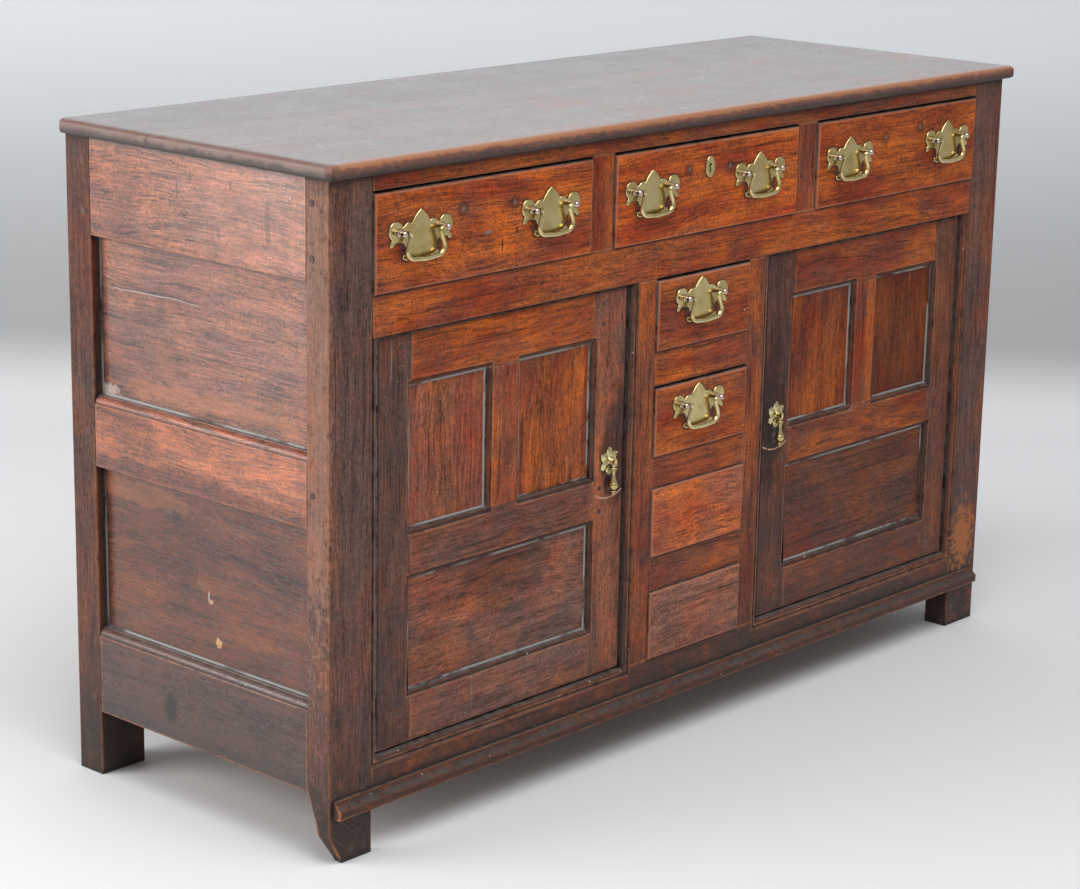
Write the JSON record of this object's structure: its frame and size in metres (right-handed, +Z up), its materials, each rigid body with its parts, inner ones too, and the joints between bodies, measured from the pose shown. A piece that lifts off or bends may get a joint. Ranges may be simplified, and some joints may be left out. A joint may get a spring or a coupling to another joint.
{
  "type": "dresser base",
  "caption": "Joined oak dresser base with frieze drawers, panelled cupboard doors, a centre column of small drawers and swinging brass pulls.",
  "frame": {"origin": "on the floor, at the middle of the whole object's box", "axes": "+X to the right along the front as seen by someone facing it, +Y from the front to the back, +Z up"},
  "size_m": [1.352, 0.4806, 0.836],
  "materials": {
    "oak_frame": "waxed dark oak",
    "oak_fronts": "waxed red-brown oak",
    "oak_panels": "waxed brown oak",
    "oak_top": "worn and bleached oak",
    "oak_inside": "bare oak",
    "brass": "dull cast brass",
    "iron": "dark iron"
  },
  "bodies": {
    "carcase": {"front_left_stile": "oak_frame", "front_right_stile": "oak_frame", "rear_stiles": "oak_frame", "front_top_rail": "oak_frame", "front_drawer_rail": "oak_frame", "front_bottom_rail": "oak_frame", "drawer_muntins": "oak_frame", "centre_stiles": "oak_frame", "centre_rails": "oak_frame", "dummy_panels": "oak_fronts", "base_moulding": "oak_frame", "opening_mouldings": "oak_frame", "end_rails": "oak_frame", "end_panels": "oak_panels", "top_front_board": "oak_top", "top_rear_board": "oak_top", "rear_rails": "oak_inside", "back_boards": "oak_inside", "cupboard_floor": "oak_inside", "partitions": "oak_inside", "drawer_runners": "oak_inside", "frame_pegs": "oak_frame"},
    "left_drawer": {"left_drawer_front": "oak_fronts", "left_drawer_box": "oak_inside", "left_drawer_brasses": "brass"},
    "left_drawer_left_bail": {"left_drawer_left_bail": "brass"},
    "left_drawer_right_bail": {"left_drawer_right_bail": "brass"},
    "middle_drawer": {"middle_drawer_front": "oak_fronts", "middle_drawer_box": "oak_inside", "middle_drawer_brasses": "brass", "middle_drawer_lock": "iron"},
    "middle_drawer_left_bail": {"middle_drawer_left_bail": "brass"},
    "middle_drawer_right_bail": {"middle_drawer_right_bail": "brass"},
    "right_drawer": {"right_drawer_front": "oak_fronts", "right_drawer_box": "oak_inside", "right_drawer_brasses": "brass"},
    "right_drawer_left_bail": {"right_drawer_left_bail": "brass"},
    "right_drawer_right_bail": {"right_drawer_right_bail": "brass"},
    "upper_small_drawer": {"upper_small_drawer_front": "oak_fronts", "upper_small_drawer_box": "oak_inside", "upper_small_drawer_brasses": "brass"},
    "upper_small_drawer_bail": {"upper_small_drawer_bail": "brass"},
    "lower_small_drawer": {"lower_small_drawer_front": "oak_fronts", "lower_small_drawer_box": "oak_inside", "lower_small_drawer_brasses": "brass"},
    "lower_small_drawer_bail": {"lower_small_drawer_bail": "brass"},
    "left_door": {"left_door_stiles": "oak_frame", "left_door_rails": "oak_frame", "left_door_panels": "oak_panels", "left_door_pegs": "oak_frame", "left_door_rose": "brass", "left_door_pivots": "iron"},
    "left_door_drop": {"left_door_drop": "brass"},
    "right_door": {"right_door_stiles": "oak_frame", "right_door_rails": "oak_frame", "right_door_panels": "oak_panels", "right_door_pegs": "oak_frame", "right_door_rose": "brass", "right_door_pivots": "iron"},
    "right_door_drop": {"right_door_drop": "brass"}
  },
  "joints": [
    {"name": "left_drawer_slide", "type": "slide", "parent": "carcase", "child": "left_drawer", "axis": [0, -1, 0], "range_m": [0, 0.3]},
    {"name": "left_drawer_left_bail_swing", "type": "hinge", "parent": "left_drawer", "child": "left_drawer_left_bail", "pos_m": [-0.527, -0.23615, 0.746], "axis": [-1, 0, 0], "range_deg": [-6, 110]},
    {"name": "left_drawer_right_bail_swing", "type": "hinge", "parent": "left_drawer", "child": "left_drawer_right_bail", "pos_m": [-0.305, -0.23615, 0.746], "axis": [-1, 0, 0], "range_deg": [-6, 110]},
    {"name": "middle_drawer_slide", "type": "slide", "parent": "carcase", "child": "middle_drawer", "axis": [0, -1, 0], "range_m": [0, 0.3]},
    {"name": "middle_drawer_left_bail_swing", "type": "hinge", "parent": "middle_drawer", "child": "middle_drawer_left_bail", "pos_m": [-0.116, -0.23615, 0.746], "axis": [-1, 0, 0], "range_deg": [-6, 110]},
    {"name": "middle_drawer_right_bail_swing", "type": "hinge", "parent": "middle_drawer", "child": "middle_drawer_right_bail", "pos_m": [0.101, -0.23615, 0.746], "axis": [-1, 0, 0], "range_deg": [-6, 110]},
    {"name": "right_drawer_slide", "type": "slide", "parent": "carcase", "child": "right_drawer", "axis": [0, -1, 0], "range_m": [0, 0.3]},
    {"name": "right_drawer_left_bail_swing", "type": "hinge", "parent": "right_drawer", "child": "right_drawer_left_bail", "pos_m": [0.298, -0.23615, 0.746], "axis": [-1, 0, 0], "range_deg": [-6, 110]},
    {"name": "right_drawer_right_bail_swing", "type": "hinge", "parent": "right_drawer", "child": "right_drawer_right_bail", "pos_m": [0.528, -0.23615, 0.746], "axis": [-1, 0, 0], "range_deg": [-6, 110]},
    {"name": "upper_small_drawer_slide", "type": "slide", "parent": "carcase", "child": "upper_small_drawer", "axis": [0, -1, 0], "range_m": [0, 0.3]},
    {"name": "upper_small_drawer_bail_swing", "type": "hinge", "parent": "upper_small_drawer", "child": "upper_small_drawer_bail", "pos_m": [-0.011, -0.23615, 0.5965], "axis": [-1, 0, 0], "range_deg": [-6, 110]},
    {"name": "lower_small_drawer_slide", "type": "slide", "parent": "carcase", "child": "lower_small_drawer", "axis": [0, -1, 0], "range_m": [0, 0.3]},
    {"name": "lower_small_drawer_bail_swing", "type": "hinge", "parent": "lower_small_drawer", "child": "lower_small_drawer_bail", "pos_m": [-0.011, -0.23615, 0.4555], "axis": [-1, 0, 0], "range_deg": [-6, 110]},
    {"name": "left_door_hinge", "type": "hinge", "parent": "carcase", "child": "left_door", "pos_m": [-0.578, -0.20965, 0.373], "axis": [0, 0, -1], "range_deg": [0, 100]},
    {"name": "left_door_drop_swing", "type": "hinge", "parent": "left_door", "child": "left_door_drop", "pos_m": [-0.175, -0.22505, 0.403], "axis": [0, 1, 0], "range_deg": [-30, 70]},
    {"name": "right_door_hinge", "type": "hinge", "parent": "carcase", "child": "right_door", "pos_m": [0.578, -0.20965, 0.373], "axis": [0, 0, 1], "range_deg": [0, 100]},
    {"name": "right_door_drop_swing", "type": "hinge", "parent": "right_door", "child": "right_door_drop", "pos_m": [0.169, -0.22505, 0.403], "axis": [0, 1, 0], "range_deg": [-70, 30]}
  ]
}
